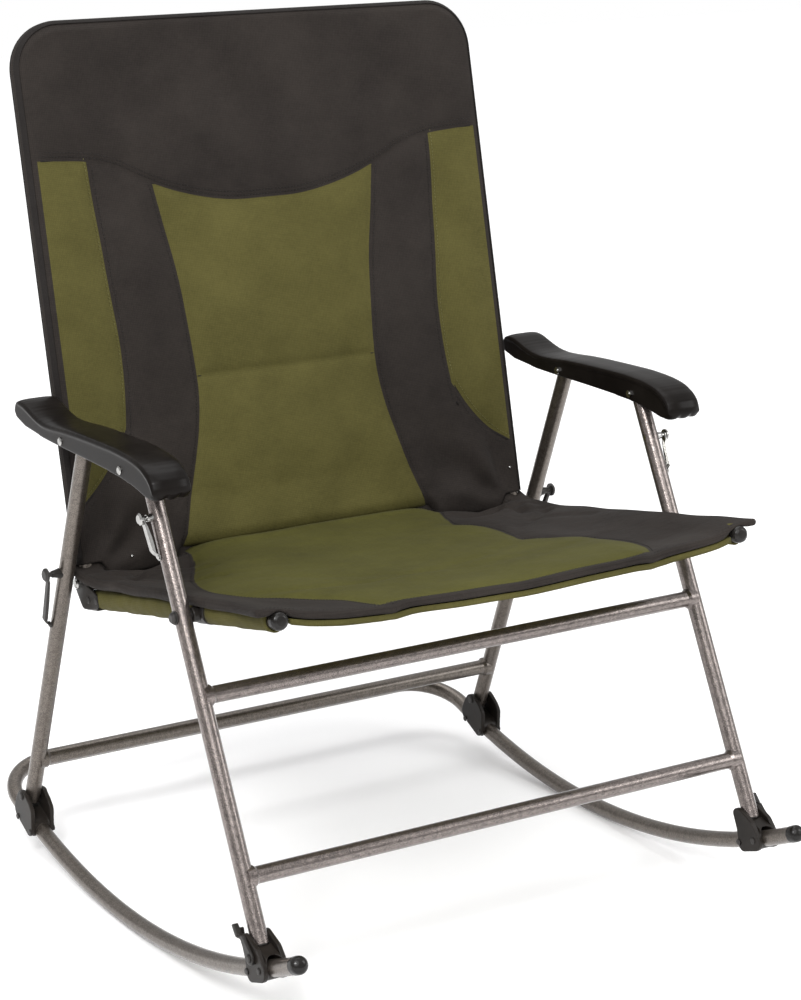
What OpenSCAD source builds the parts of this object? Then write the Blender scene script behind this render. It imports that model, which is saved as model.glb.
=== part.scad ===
// Folding camp rocking chair. Millimetres, +Z up, the sitter faces -Y, the sitter's left is +X.
// The origin is on the floor under the middle of the chair's bounding box.
// Side-view points are given as [y, z]. Parts of a pair are drawn at +X and mirrored.

/* [Tubes] */
// Outside diameter of every frame tube
tube_d = 20; // [19:0.5:21]
// Wall thickness of every frame tube
tube_wall = 1.2; // [1:0.1:2]
// Distance between the left and right legs, centre to centre
leg_span = 690; // [660:5:720]
// Distance between the left and right seat rails, centre to centre
rail_span = 628; // [598:5:658]

/* [Rocker] */
// Radius of the rocking arc at the tube's centre
rock_r = 985; // [900:5:1100]
// Where the arc touches the floor, front to back
rock_y = 38; // [20:1:60]
// Angle of the arc ahead of the floor contact
front_sweep = 26; // [22:0.5:28]
// Angle of the arc behind the floor contact, up to the rear bend
rear_sweep = 17; // [15:0.5:20]
// Radius of the two rear bends
rear_bend_r = 70; // [50:5:90]

/* [Legs] */
// Rear leg's pivot in the rear clamp
rear_foot = [286, 78];
// Lower end of the front leg in the front clamp
front_foot = [-317, 105];
// Rear leg's pivot in the armrest
rear_arm_pivot = [89, 592];
// Front leg's pivot in the armrest
front_arm_pivot = [-67, 592];
// Height of the rear crossbar
rear_bar_z = 132; // [110:1:200]
// Height of the lower front crossbar
lower_bar_z = 171; // [150:1:220]
// Height of the upper front crossbar
upper_bar_z = 354; // [300:1:370]

/* [Seat and back] */
// Front end of the seat rail
rail_front = [-306, 470];
// Rear end of the seat rail
rail_rear = [150, 373];
// Hinge between the seat rail and the back tube
back_hinge = [166, 389];
// Top of the back tube, on the tube's centre
back_top = [316.7, 1040.3];
// Radius of the back tube's top corners
back_bend_r = 48; // [40:1:70]
// Thickness of the seat's fabric pad at the middle of its front edge
seat_pad_t = 14; // [8:1:20]
// Height of the seat pad's top above the rail's centre line, at the rail's front end
seat_front_top = 14; // [12:1:20]
// The same at the pad's rear end
seat_rear_top = 30; // [20:1:34]
// How far the seat pad's front edge sags in the middle
seat_sag = 22; // [5:1:40]
// Thickness of the back's fabric pad
back_pad_t = 8; // [6:1:24]
// How far the back pad bows rearward in the middle
back_sag = 14; // [5:1:30]

/* [Armrest] */
// Width of the armrest
arm_w = 48; // [45:1:56]
// Thickness of the armrest's shell
arm_wall = 3.6; // [3:0.1:4]

/* [Hidden] */
$fn = 48;

tube_r = tube_d / 2;
bore_r = tube_r - tube_wall;
leg_x = leg_span / 2;
rail_x = rail_span / 2;
rock_z = rock_r + tube_r;
// Straight stretch between the runner's arc and the rear bend
rear_stub = 5.5;
// Running fit, radial, between a pivot pin and the part that turns on it
fit = 0.08;
// Radius of the armrest bolts, and of every larger pivot pin
bolt_r = 3;
pin_r = 4;
// How far a leg tube runs past its pivot
tube_past = 8;
rear_top_past = 5;
// Cheeks of the clamps: gap beside the leg and thickness
cheek_gap = 0.4;
cheek_t = 5.6;
cheek_in = tube_r + cheek_gap;
cheek_out = cheek_in + cheek_t;
// Sleeve of fabric round the seat rail and the back tube
sleeve_r = tube_r + 2.8;
// Armrest, from the inner face outward
arm_in = leg_x - 14;
arm_out = arm_in + arm_w;
// Angle between the dish in the seat pad and the rails
seat_tilt = 6.2;
// Places of the latch pins and of their springs' rivets, as heights on the legs
front_latch_z = 540;
front_rivet_z = 500;
rear_latch_z = 409;
rear_rivet_z = 337;
latch_pin_r = 3;
strip_t = 1.5;
strip_w = 8;

// Direction and length between two side-view points
function span(a, b) = norm(b - a);
function lean(a, b) = atan2(b[0] - a[0], b[1] - a[1]);
// Point at height z on the line from a to b
function at_z(a, b, z) = [a[0] + (b[0] - a[0]) * (z - a[1]) / (b[1] - a[1]), z];
function on_front_leg(z) = at_z(front_foot, front_arm_pivot, z);
function on_rear_leg(z) = at_z(rear_foot, rear_arm_pivot, z);
// Point on the rocking arc at an angle behind the floor contact
function on_arc(a, r = rock_r) = [rock_y + r * sin(a), rock_z - r * cos(a)];

rail_len = span(rail_rear, rail_front);
back_len = span(back_hinge, back_top);
// Where the seat rail crosses the front leg
seat_pivot = [-147, 436.2];

// Mirrors a part drawn at +X to the right side
module right() { mirror([1, 0, 0]) children(); }
module both() { children(); right() children(); }
// Puts local +Z along the line from point a to point b, with the origin on a, at x
module along(x, a, b) { translate([x, a[0], a[1]]) rotate([-lean(a, b), 0, 0]) children(); }
// Puts a drawing in the side view: its x is Y, its y is Z, and its thickness starts at x
module side(x) { translate([x, 0, 0]) rotate([90, 0, 90]) children(); }
// Round bar along X from x0 to x1 through a side-view point
module cross(p, x0, x1, r) { translate([x0, p[0], p[1]]) rotate([0, 90, 0]) cylinder(h = x1 - x0, r = r); }
// Straight bar between two side-view points, longer by past at each end
module bar(x, a, b, r, past_a = 0, past_b = 0) {
    along(x, a, b) translate([0, 0, -past_a]) cylinder(h = span(a, b) + past_a + past_b, r = r);
}
// Round-headed rivet or screw along X, its head's underside at x, pointing to +X
module head(p, x, r, h) {
    translate([x, p[0], p[1]]) rotate([0, 90, 0]) {
        cylinder(h = h * 0.5, r = r);
        translate([0, 0, h * 0.5]) cylinder(h = h * 0.5, r1 = r, r2 = r * 0.7);
    }
}
// Flat plate from x0 to x1 whose outline wraps the given circles, each [y, z, r]
module wrap_plate(x0, x1, circles) {
    side(x0) linear_extrude(x1 - x0) hull() for (c = circles) translate([c[0], c[1]]) circle(r = c[2], $fn = 32);
}

// ---- Rocker ----

// Arc of the runner, its 2D section given as children, from angle a0 to a1
module runner_sweep(a0, a1) {
    side(leg_x) translate([rock_y, rock_z]) rotate([0, 0, a0 - 90])
        rotate_extrude(angle = a1 - a0, $fn = 240) translate([rock_r, 0]) children();
}
module runner_arc(r, a0, a1) { runner_sweep(a0, a1) circle(r = r); }
// Section of the tube's wall
module tube_ring() {
    difference() { circle(r = tube_r); circle(r = bore_r); }
}
// Places its children where the rear bend starts, +Y along the tube
module at_rear_bend() {
    p = on_arc(rear_sweep);
    translate([leg_x, p[0], p[1]]) rotate([rear_sweep, 0, 0]) children();
}
// Runner: one side of the rocker's tube, from the front end to the rear bend
module runner() {
    color([0.42, 0.38, 0.34]) difference() {
        runner_sweep(-front_sweep, rear_sweep) tube_ring();
        for (s = concat(front_screws, rear_screws)) cross(s, leg_x - 20, leg_x + 20, screw_r);
    }
}
// The rest of the same tube: two rear bends and the tube across the back
module rocker_rear_loop() {
    color([0.42, 0.38, 0.34]) {
        both() {
            at_rear_bend() rotate([-90, 0, 0]) linear_extrude(rear_stub) tube_ring();
            at_rear_bend() translate([-rear_bend_r, rear_stub, 0])
                rotate_extrude(angle = 90, $fn = 96) translate([rear_bend_r, 0]) tube_ring();
        }
        at_rear_bend() translate([-rear_bend_r, rear_stub + rear_bend_r, 0]) rotate([0, -90, 0])
            linear_extrude(leg_span - 2 * rear_bend_r) tube_ring();
    }
}
// Places its children on the runner's front end, +Z forward along the tube
module at_runner_end() {
    p = on_arc(-front_sweep);
    translate([leg_x, p[0], p[1]]) rotate([90 - front_sweep, 0, 0]) children();
}
module end_cap() {
    color([0.12, 0.11, 0.11]) at_runner_end() {
        rotate_extrude() polygon([
            [0, 0], [tube_r + 0.6, 0], [tube_r + 0.6, 8], [tube_r + 0.2, 11], [tube_r - 1.6, 13.4],
            [tube_r - 4.5, 15.2], [3, 16], [0, 16]
        ]);
        translate([0, 0, -16]) cylinder(h = 16, r = bore_r - 0.3);
    }
}
// Clamp of two cheeks and a saddle over the runner; the saddle's circles stay clear of the leg
module clamp(cheek, saddle, a0, a1) {
    color([0.13, 0.12, 0.11]) difference() {
        union() {
            wrap_plate(leg_x - cheek_out, leg_x - cheek_in, cheek);
            wrap_plate(leg_x + cheek_in, leg_x + cheek_out, cheek);
            wrap_plate(leg_x - cheek_in, leg_x + cheek_in, saddle);
        }
        runner_arc(tube_r, a0, a1);
    }
}
// Screws of a clamp: through the runner below the leg
front_screws = [on_arc(-22.6), on_arc(-20.9)];
rear_screws = [on_arc(13.2), on_arc(15.4)];
screw_r = 2.5;

rear_cheek = [[286, 79, 13], [301, 56, 12], [266, 40, 11], [262, 62, 8]];
rear_saddle = [[301, 51, 11.5], [267, 39, 11.5]];
front_cheek = [[-309, 116, 11], [-320, 76, 11], [-345, 85, 12], [-333, 108, 9]];
front_saddle = [[-320, 76, 11.5], [-343, 86, 12.5], [-324, 96, 7]];
catch_pivot = [-326, 96];

module rear_clamp() {
    difference() {
        clamp(rear_cheek, rear_saddle, 10, rear_sweep);
        color([0.13, 0.12, 0.11]) cross(rear_foot, leg_x - 30, leg_x + 30, pin_r);
        for (s = rear_screws) cross(s, leg_x - 30, leg_x + 30, screw_r);
    }
}
module front_clamp() {
    difference() {
        clamp(front_cheek, front_saddle, -26, -17);
        for (s = front_screws) cross(s, leg_x - 30, leg_x + 30, screw_r);
        cross(catch_pivot, leg_x + 5, leg_x + 30, bolt_r);
    }
}

// Four screws a side that hold the clamps on the runner, each with a head at both ends
module clamp_screws() {
    color([0.2, 0.19, 0.18]) both() for (s = concat(front_screws, rear_screws)) {
        cross(s, leg_x - cheek_out, leg_x + cheek_out, screw_r);
        head(s, leg_x + cheek_out, 4, 1.6);
        translate([2 * leg_x, 0, 0]) mirror([1, 0, 0]) head(s, leg_x + cheek_out, 4, 1.6);
    }
}
module rear_pivot_pins() {
    color([0.25, 0.24, 0.23]) both() {
        cross(rear_foot, leg_x - cheek_out, leg_x + cheek_out, pin_r);
        head(rear_foot, leg_x + cheek_out, 5.5, 2.4);
        translate([2 * leg_x, 0, 0]) mirror([1, 0, 0]) head(rear_foot, leg_x + cheek_out, 5.5, 2.4);
    }
}
// Catch lever on the outer cheek of the front clamp, with a finger tab and a nose behind the leg
catch_x = leg_x + cheek_out + 0.3;
catch_t = 4;
module catch_lever() {
    color([0.1, 0.1, 0.1]) difference() {
        union() {
            wrap_plate(catch_x, catch_x + catch_t, [[catch_pivot[0], catch_pivot[1], 8], [-305, 119, 5]]);
            wrap_plate(catch_x, catch_x + catch_t, [[-305, 119, 5], [-294, 119, 3.5]]);
            wrap_plate(leg_x + cheek_in + 0.8, catch_x + catch_t, [[-293, 117, 3.4], [-291, 126, 3]]);
            wrap_plate(catch_x, catch_x + catch_t + 3, [[-296, 121, 3.5], [-286, 132, 3]]);
        }
        cross(catch_pivot, catch_x - 1, catch_x + 10, bolt_r + fit);
    }
}
module catch_screws() {
    color([0.25, 0.24, 0.23]) both() {
        cross(catch_pivot, leg_x + cheek_in + 0.8, catch_x + catch_t + 0.3, bolt_r);
        head(catch_pivot, catch_x + catch_t + 0.3, 5, 2);
    }
}

// ---- Legs ----

module rear_leg() {
    color([0.45, 0.41, 0.37]) difference() {
        bar(leg_x, rear_foot, rear_arm_pivot, tube_r, tube_past, rear_top_past);
        bar(leg_x, rear_foot, rear_arm_pivot, bore_r, tube_past + 1, rear_top_past + 1);
        cross(rear_foot, leg_x - 20, leg_x + 20, pin_r + fit);
        cross(rear_arm_pivot, leg_x - 20, leg_x + 20, bolt_r + fit);
        cross(on_rear_leg(rear_latch_z), leg_x - 20, leg_x + 20, latch_pin_r + fit);
        cross(on_rear_leg(rear_rivet_z), leg_x, leg_x + 20, 2);
    }
}
module front_leg() {
    color([0.36, 0.33, 0.3]) difference() {
        bar(leg_x, front_foot, front_arm_pivot, tube_r, 0, tube_past);
        bar(leg_x, front_foot, front_arm_pivot, bore_r, 1, tube_past + 1);
        cross(seat_pivot, leg_x - 20, leg_x + 20, pin_r);
        cross(front_arm_pivot, leg_x - 20, leg_x + 20, bolt_r + fit);
        cross(on_front_leg(front_latch_z), leg_x - 20, leg_x + 20, latch_pin_r + fit);
        cross(on_front_leg(front_rivet_z), leg_x, leg_x + 20, 2);
    }
}
// Crossbar between a pair of legs at a side-view point, with its weld beads, coped over both legs
weld = 2.6;
module crossbar(p, foot, top) {
    difference() {
        union() {
            cross(p, -leg_x, leg_x, tube_r);
            both() translate([leg_x, p[0], p[1]]) rotate([0, -90, 0]) {
                cylinder(h = tube_r, r = tube_r + weld);
                translate([0, 0, tube_r]) cylinder(h = weld * 1.4, r1 = tube_r + weld, r2 = tube_r);
            }
        }
        cross(p, -leg_x, leg_x, bore_r);
        both() bar(leg_x, foot, top, tube_r);
    }
}
module rear_crossbar() {
    color([0.45, 0.41, 0.37]) crossbar(on_rear_leg(rear_bar_z), rear_foot, rear_arm_pivot);
}
module front_crossbar_lower() {
    color([0.36, 0.33, 0.3]) crossbar(on_front_leg(lower_bar_z), front_foot, front_arm_pivot);
}
module front_crossbar_upper() {
    color([0.36, 0.33, 0.3]) crossbar(on_front_leg(upper_bar_z), front_foot, front_arm_pivot);
}
// Plastic plug in the end of a tube that starts at a, with a flange of height h past the end
module plug(x, a, b, past, depth) {
    along(x, a, b) translate([0, 0, -past]) {
        cylinder(h = depth, r = bore_r - 0.05);
        translate([0, 0, -1.6]) cylinder(h = 1.6, r = tube_r - 0.4);
    }
}
module front_leg_plugs() {
    color([0.12, 0.12, 0.12]) both() plug(leg_x, front_foot, front_arm_pivot, 0, 14);
}
module rear_leg_plugs() {
    color([0.12, 0.12, 0.12]) both() difference() {
        plug(leg_x, rear_foot, rear_arm_pivot, tube_past, 20);
        cross(rear_foot, leg_x - 20, leg_x + 20, pin_r + fit);
    }
}
// Bolt through the front leg, the spacer and the seat rail, fixed in the leg
module seat_pivot_bolts() {
    color([0.7, 0.7, 0.7]) both() {
        cross(seat_pivot, rail_x - tube_r - 6, leg_x + tube_r, pin_r);
        translate([leg_x + tube_r, 0, 0]) side(0) translate(seat_pivot) cylinder(h = 1, r = 8);
        head(seat_pivot, leg_x + tube_r + 1, 6.5, 4.4);
    }
}
module seat_pivot_nuts() {
    color([0.7, 0.7, 0.7]) both() difference() {
        side(rail_x - tube_r - 5.4) translate(seat_pivot) cylinder(h = 5, r = 6.5, $fn = 6);
        cross(seat_pivot, rail_x - tube_r - 8, rail_x - tube_r + 1, pin_r);
    }
}

// ---- Armrests ----

// Side view of the armrest's top and underside, from the tail to the nose and back
arm_top = [[222, 601], [220, 609], [215, 615.5], [207, 619], [197, 619], [184, 615.5], [170, 611], [152, 606.5],
    [132, 605], [108, 606.5], [80, 609.5], [45, 612], [0, 614], [-50, 616], [-92, 615], [-120, 611], [-138, 604.5],
    [-148, 596]];
arm_under = [[-152, 588], [-153, 581], [-149, 576.5], [-141, 574.5], [-130, 575], [-116, 577.5], [-98, 580.5],
    [-70, 583], [-30, 584.5], [20, 585], [100, 584.5], [190, 586], [216, 592]];
arm_outline = concat(arm_top, arm_under);
arm_spacer_r = 7;

module armrest() {
    color([0.11, 0.1, 0.1]) difference() {
        union() {
            difference() {
                side(arm_in) linear_extrude(arm_w) polygon(arm_outline);
                side(arm_in + arm_wall) linear_extrude(arm_w - 2 * arm_wall) intersection() {
                    translate([0, -4.5]) polygon(concat([[206, 480]], arm_top, [[-150, 480]]));
                    translate([-88, 480]) square([292, 200]);
                }
            }
            for (p = [rear_arm_pivot, front_arm_pivot])
                cross(p, leg_x + cheek_in, arm_out - arm_wall, arm_spacer_r);
        }
        for (p = [rear_arm_pivot, front_arm_pivot]) cross(p, arm_in - 1, arm_out + 1, bolt_r);
    }
}
module armrest_bolts() {
    color([0.6, 0.6, 0.6]) both() for (p = [rear_arm_pivot, front_arm_pivot]) {
        cross(p, arm_in - 3.2, arm_out, bolt_r);
        head(p, arm_out, 5, 2.2);
    }
}
module armrest_nuts() {
    color([0.6, 0.6, 0.6]) both() for (p = [rear_arm_pivot, front_arm_pivot]) difference() {
        side(arm_in - 2.4) translate(p) cylinder(h = 2.4, r = 5, $fn = 6);
        cross(p, arm_in - 5, arm_in + 1, bolt_r);
    }
}

// ---- Seat frame ----

bracket_t = 3;
bracket_gap = 0.4;
bracket_rivets_at = [at_z(rail_rear, rail_front, 375.8), at_z(rail_rear, rail_front, 380.4)];
rivet_r = 2.5;

module seat_rail() {
    color([0.4, 0.37, 0.33]) difference() {
        bar(rail_x, rail_rear, rail_front, tube_r);
        bar(rail_x, rail_rear, rail_front, bore_r, 1, 1);
        cross(seat_pivot, rail_x - 20, rail_x + 20, pin_r + fit);
        for (p = bracket_rivets_at) cross(p, rail_x - 20, rail_x + 20, rivet_r);
    }
}
module rail_cap() {
    color([0.12, 0.11, 0.11]) along(rail_x, rail_front, rail_front + (rail_front - rail_rear)) {
        rotate_extrude() polygon([
            [0, 0], [tube_r + 0.6, 0], [tube_r + 0.6, 7], [tube_r - 0.8, 10.5], [tube_r - 4, 12.6], [0, 13]
        ]);
        translate([0, 0, -14]) cylinder(h = 14, r = bore_r - 0.3);
    }
}
module seat_spacers() {
    color([0.1, 0.1, 0.1]) both() difference() {
        cross(seat_pivot, rail_x + tube_r + 0.2, leg_x - tube_r - 0.4, 8.5);
        cross(seat_pivot, rail_x, leg_x, pin_r + fit);
    }
}
// Two plates on the rear end of the rail, joined under it, that hold the back's hinge bolt
bracket_circles = [[back_hinge[0], back_hinge[1], 11], [150, 372, 11], [122, 378.5, 10.5]];
module back_bracket() {
    outer = rail_x + tube_r + bracket_gap;
    inner = rail_x - tube_r - bracket_gap;
    color([0.13, 0.12, 0.12]) difference() {
        union() {
            wrap_plate(outer, outer + bracket_t, bracket_circles);
            wrap_plate(inner - bracket_t, inner, bracket_circles);
            along(rail_x, rail_rear, rail_front) translate([inner - rail_x - 1, -tube_r - 3, 2])
                cube([outer - inner + 2, 2.4, 30]);
        }
        cross(back_hinge, inner - 10, outer + 10, pin_r);
        for (p = bracket_rivets_at) cross(p, inner - 10, outer + 10, rivet_r);
    }
}
module bracket_rivets() {
    outer = rail_x + tube_r + bracket_gap + bracket_t;
    color([0.6, 0.6, 0.6]) both() for (p = bracket_rivets_at) {
        cross(p, 2 * rail_x - outer, outer, rivet_r);
        head(p, outer, 4.2, 1.6);
        translate([2 * rail_x, 0, 0]) mirror([1, 0, 0]) head(p, outer, 4.2, 1.6);
    }
}
module back_hinge_bolts() {
    outer = rail_x + tube_r + bracket_gap + bracket_t;
    color([0.72, 0.72, 0.72]) both() {
        cross(back_hinge, 2 * rail_x - outer - 5.6, outer, pin_r);
        head(back_hinge, outer, 6.2, 4);
    }
}
module back_hinge_nuts() {
    inner = rail_x - tube_r - bracket_gap - bracket_t;
    color([0.72, 0.72, 0.72]) both() difference() {
        side(inner - 5) translate(back_hinge) cylinder(h = 5, r = 6.5, $fn = 6);
        cross(back_hinge, inner - 8, inner + 1, pin_r);
    }
}
// Shell of thickness t between two widths either side of the middle, bowed by sag, h tall along +Z.
// Its face at the rails' centre line lies at local y = lift, and it bows towards +Y.
module bowed_shell(half_w, sag, t, lift, h) {
    r = (half_w * half_w + sag * sag) / (2 * sag);
    intersection() {
        translate([0, lift - (r - sag), 0]) difference() {
            cylinder(h = h, r = r, $fn = 360);
            translate([0, 0, -1]) cylinder(h = h + 2, r = r - t, $fn = 360);
        }
        translate([-half_w, lift - t - 2, 0]) cube([2 * half_w, sag + t + 4, h]);
    }
}
// Pad between the rails, dished at the front and level at the rear, with a sleeve round each rail
seat_from = 62;
seat_to = rail_len - 1;
seat_dish_r = (rail_x * rail_x + seat_sag * seat_sag) / (2 * seat_sag);
module seat_pad() {
    color([0.35, 0.34, 0.2]) difference() {
        union() {
            both() along(rail_x, rail_rear, rail_front) translate([0, 0, seat_from])
                cylinder(h = seat_to - seat_from, r = sleeve_r);
            along(0, rail_rear, rail_front) rotate([0, -90, 0]) linear_extrude(2 * rail_x, center = true)
                polygon([[seat_from, -7], [seat_to, seat_front_top - seat_sag - seat_pad_t],
                    [seat_to, seat_front_top + 1], [seat_from, seat_rear_top]]);
        }
        along(0, rail_rear, rail_front) translate([0, seat_rear_top + 2 + seat_dish_r, seat_from])
            rotate([seat_tilt, 0, 0]) translate([0, 0, -100]) cylinder(h = rail_len + 200, r = seat_dish_r, $fn = 360);
        both() bar(rail_x, rail_rear, rail_front, tube_r, 1, 1);
        both() cross(seat_pivot, rail_x - tube_r - 14, leg_x, 9.5);
    }
}

// ---- Back ----

// Bent tube of the back with section radius r, in the back's own plane: +Z up from the hinge
module back_section(r, past) {
    both() {
        translate([rail_x, 0, -past]) cylinder(h = back_len - back_bend_r + past, r = r);
        translate([rail_x - back_bend_r, 0, back_len - back_bend_r]) rotate([90, 0, 0])
            rotate_extrude(angle = 90, $fn = 96) translate([back_bend_r, 0]) circle(r = r);
    }
    translate([-(rail_x - back_bend_r), 0, back_len]) rotate([0, 90, 0])
        cylinder(h = rail_span - 2 * back_bend_r, r = r);
}
// Block with the rounded outline of the back tube's centre line
module back_outline() {
    translate([-rail_x, -50, 0]) cube([rail_span, 100, back_len - back_bend_r]);
    translate([-rail_x + back_bend_r, -50, 0]) cube([rail_span - 2 * back_bend_r, 100, back_len]);
    both() translate([rail_x - back_bend_r, 50, back_len - back_bend_r]) rotate([90, 0, 0])
        cylinder(h = 100, r = back_bend_r);
}
module in_back() { along(0, back_hinge, back_top) children(); }
module back_tube() {
    color([0.4, 0.37, 0.33]) difference() {
        in_back() back_section(tube_r, tube_past);
        in_back() back_section(bore_r, tube_past + 1);
        both() cross(back_hinge, rail_x - 20, rail_x + 20, pin_r + fit);
    }
}
module back_tube_plugs() {
    color([0.12, 0.12, 0.12]) both() difference() {
        plug(rail_x, back_hinge, back_top, tube_past, 20);
        cross(back_hinge, rail_x - 20, rail_x + 20, pin_r + fit);
    }
}
back_from = 48;
module back_pad() {
    color([0.2, 0.2, 0.18]) difference() {
        in_back() intersection() {
            union() {
                back_section(sleeve_r, 0);
                intersection() {
                    bowed_shell(rail_x, back_sag, back_pad_t, 4, back_len);
                    back_outline();
                }
            }
            translate([-rail_x - 20, -100, back_from]) cube([rail_span + 40, 200, back_len]);
        }
        in_back() back_section(tube_r, tube_past);
    }
}

// ---- Spring latches on the legs ----

// Pin with a knob, through a leg at p
module latch_pin(p, knob_x, knob_r, knob_t) {
    cross(p, leg_x - tube_r + 0.6, knob_x, latch_pin_r);
    head(p, knob_x, knob_r, knob_t);
}
// Flat spring from a rivet at b up to a ring round the latch pin at a
module latch_spring(a, b, ring_x, foot_x) {
    difference() {
        union() {
            cross(a, ring_x, ring_x + strip_t, strip_w / 2 + 2);
            hull() {
                cross(a, ring_x, ring_x + strip_t, strip_w / 2);
                cross(b, foot_x, foot_x + strip_t, strip_w / 2);
            }
            cross(b, leg_x + tube_r - 0.9, foot_x + strip_t, strip_w / 2);
        }
        cross(a, leg_x, ring_x + 10, latch_pin_r + fit);
        cross(b, leg_x, ring_x + 10, 2);
        cross(b, foot_x + strip_t, ring_x + 10, 3.8);
        bar(leg_x, b, a, tube_r, 20, 20);
    }
}
front_ring_x = leg_x + tube_r + 10;
rear_ring_x = leg_x + tube_r + 14;
module front_latch_pin() {
    color([0.8, 0.8, 0.8]) latch_pin(on_front_leg(front_latch_z), front_ring_x + strip_t + 0.4, 7, 4);
}
module front_latch_spring() {
    color([0.8, 0.8, 0.8])
        latch_spring(on_front_leg(front_latch_z), on_front_leg(front_rivet_z), front_ring_x, leg_x + tube_r + 0.6);
}
module front_latch_rivets() {
    p = on_front_leg(front_rivet_z);
    color([0.8, 0.8, 0.8]) both() {
        cross(p, leg_x + bore_r, leg_x + tube_r + 0.6 + strip_t, 2);
        head(p, leg_x + tube_r + 0.6 + strip_t, 3.6, 1.6);
    }
}
module rear_latch_pin() {
    color([0.1, 0.1, 0.1]) latch_pin(on_rear_leg(rear_latch_z), rear_ring_x + strip_t + 0.4, 8.5, 4.5);
}
module rear_latch_spring() {
    color([0.1, 0.1, 0.1])
        latch_spring(on_rear_leg(rear_latch_z), on_rear_leg(rear_rivet_z), rear_ring_x, leg_x + tube_r + 0.6);
}
module rear_latch_rivets() {
    p = on_rear_leg(rear_rivet_z);
    color([0.1, 0.1, 0.1]) both() {
        cross(p, leg_x + bore_r, leg_x + tube_r + 0.6 + strip_t, 2);
        head(p, leg_x + tube_r + 0.6 + strip_t, 3.6, 1.6);
    }
}

runner();  // runner_left
right() runner();  // runner_right
rocker_rear_loop();
end_cap();  // end_cap_left
right() end_cap();  // end_cap_right
rear_clamp();  // rear_clamp_left
right() rear_clamp();  // rear_clamp_right
front_clamp();  // front_clamp_left
right() front_clamp();  // front_clamp_right
clamp_screws();
rear_pivot_pins();
catch_lever();  // catch_lever_left
right() catch_lever();  // catch_lever_right
catch_screws();
rear_leg();  // rear_leg_left
right() rear_leg();  // rear_leg_right
rear_crossbar();
rear_leg_plugs();
front_leg();  // front_leg_left
right() front_leg();  // front_leg_right
front_crossbar_upper();
front_crossbar_lower();
front_leg_plugs();
seat_pivot_bolts();
seat_pivot_nuts();
armrest();  // armrest_left
right() armrest();  // armrest_right
armrest_bolts();
armrest_nuts();
seat_rail();  // seat_rail_left
right() seat_rail();  // seat_rail_right
rail_cap();  // rail_cap_left
right() rail_cap();  // rail_cap_right
seat_spacers();
back_bracket();  // back_bracket_left
right() back_bracket();  // back_bracket_right
bracket_rivets();
back_hinge_bolts();
back_hinge_nuts();
seat_pad();
back_tube();
back_tube_plugs();
back_pad();
front_latch_pin();  // front_latch_pin_left
right() front_latch_pin();  // front_latch_pin_right
front_latch_spring();  // front_latch_spring_left
right() front_latch_spring();  // front_latch_spring_right
front_latch_rivets();
rear_latch_pin();  // rear_latch_pin_left
right() rear_latch_pin();  // rear_latch_pin_right
rear_latch_spring();  // rear_latch_spring_left
right() rear_latch_spring();  // rear_latch_spring_right
rear_latch_rivets();
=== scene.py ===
"""Folding camp rocking chair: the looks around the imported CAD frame. Lengths in the helpers are millimetres."""

import math

import bmesh
import bpy
import numpy as np
from mathutils import Matrix, Vector


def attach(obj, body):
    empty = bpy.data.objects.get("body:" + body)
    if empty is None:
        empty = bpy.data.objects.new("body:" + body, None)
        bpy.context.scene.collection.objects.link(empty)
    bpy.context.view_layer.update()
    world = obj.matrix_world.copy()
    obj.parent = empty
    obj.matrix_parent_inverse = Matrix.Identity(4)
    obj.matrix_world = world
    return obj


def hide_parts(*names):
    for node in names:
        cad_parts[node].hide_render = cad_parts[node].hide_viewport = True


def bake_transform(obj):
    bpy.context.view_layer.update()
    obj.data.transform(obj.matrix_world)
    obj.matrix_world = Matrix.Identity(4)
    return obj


MM = 0.001
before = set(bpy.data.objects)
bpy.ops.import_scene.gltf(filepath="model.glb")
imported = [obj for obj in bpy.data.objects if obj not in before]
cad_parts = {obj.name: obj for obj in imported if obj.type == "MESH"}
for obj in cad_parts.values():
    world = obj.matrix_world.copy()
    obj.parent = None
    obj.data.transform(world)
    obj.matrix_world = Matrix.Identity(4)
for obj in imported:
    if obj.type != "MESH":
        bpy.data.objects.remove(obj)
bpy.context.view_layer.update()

# ---------------------------------------------------------------- the chair's own lines, side view [Y, Z]
LEG_X, RAIL_X, TUBE_R = 345.0, 314.0, 10.0
REAR_FOOT, REAR_ARM = (286, 78), (89, 592)
FRONT_FOOT, FRONT_ARM = (-317, 105), (-67, 592)
RAIL_REAR, RAIL_FRONT = (150, 373), (-306, 470)
HINGE, BACK_TOP = (166, 389), (316.7, 1040.3)


def unit(a, b):
    d = np.array(b, float) - np.array(a, float)
    return d / np.hypot(*d)


def bell(v, centre, width):
    """1 at the centre, falling off smoothly on both sides."""
    return np.exp(-(((v - centre) / width) ** 2))


def grow(v, start, length):
    """0 up to start, 1 from start + length on, straight between; a negative length runs the other way."""
    return np.clip((v - start) / length, 0, 1)


def ease(w):
    return w * w * (3 - 2 * w)


class Plane:
    """Side-view frame along a line: s runs from a to b, q stands off it on the sitter's side."""

    def __init__(self, a, b, turn):
        self.a, self.u = np.array(a, float), unit(a, b)
        self.n = np.array([self.u[1], -self.u[0]]) * turn

    def at(self, x, s, q):
        x, s, q = np.broadcast_arrays(x, s, q)
        y, z = (self.a[i] + self.u[i] * s + self.n[i] * q for i in (0, 1))
        return np.stack([x, y, z], -1)


BACK = Plane(HINGE, BACK_TOP, -1)
SEAT = Plane(RAIL_REAR, RAIL_FRONT, 1)

# ---------------------------------------------------------------- node materials


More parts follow.
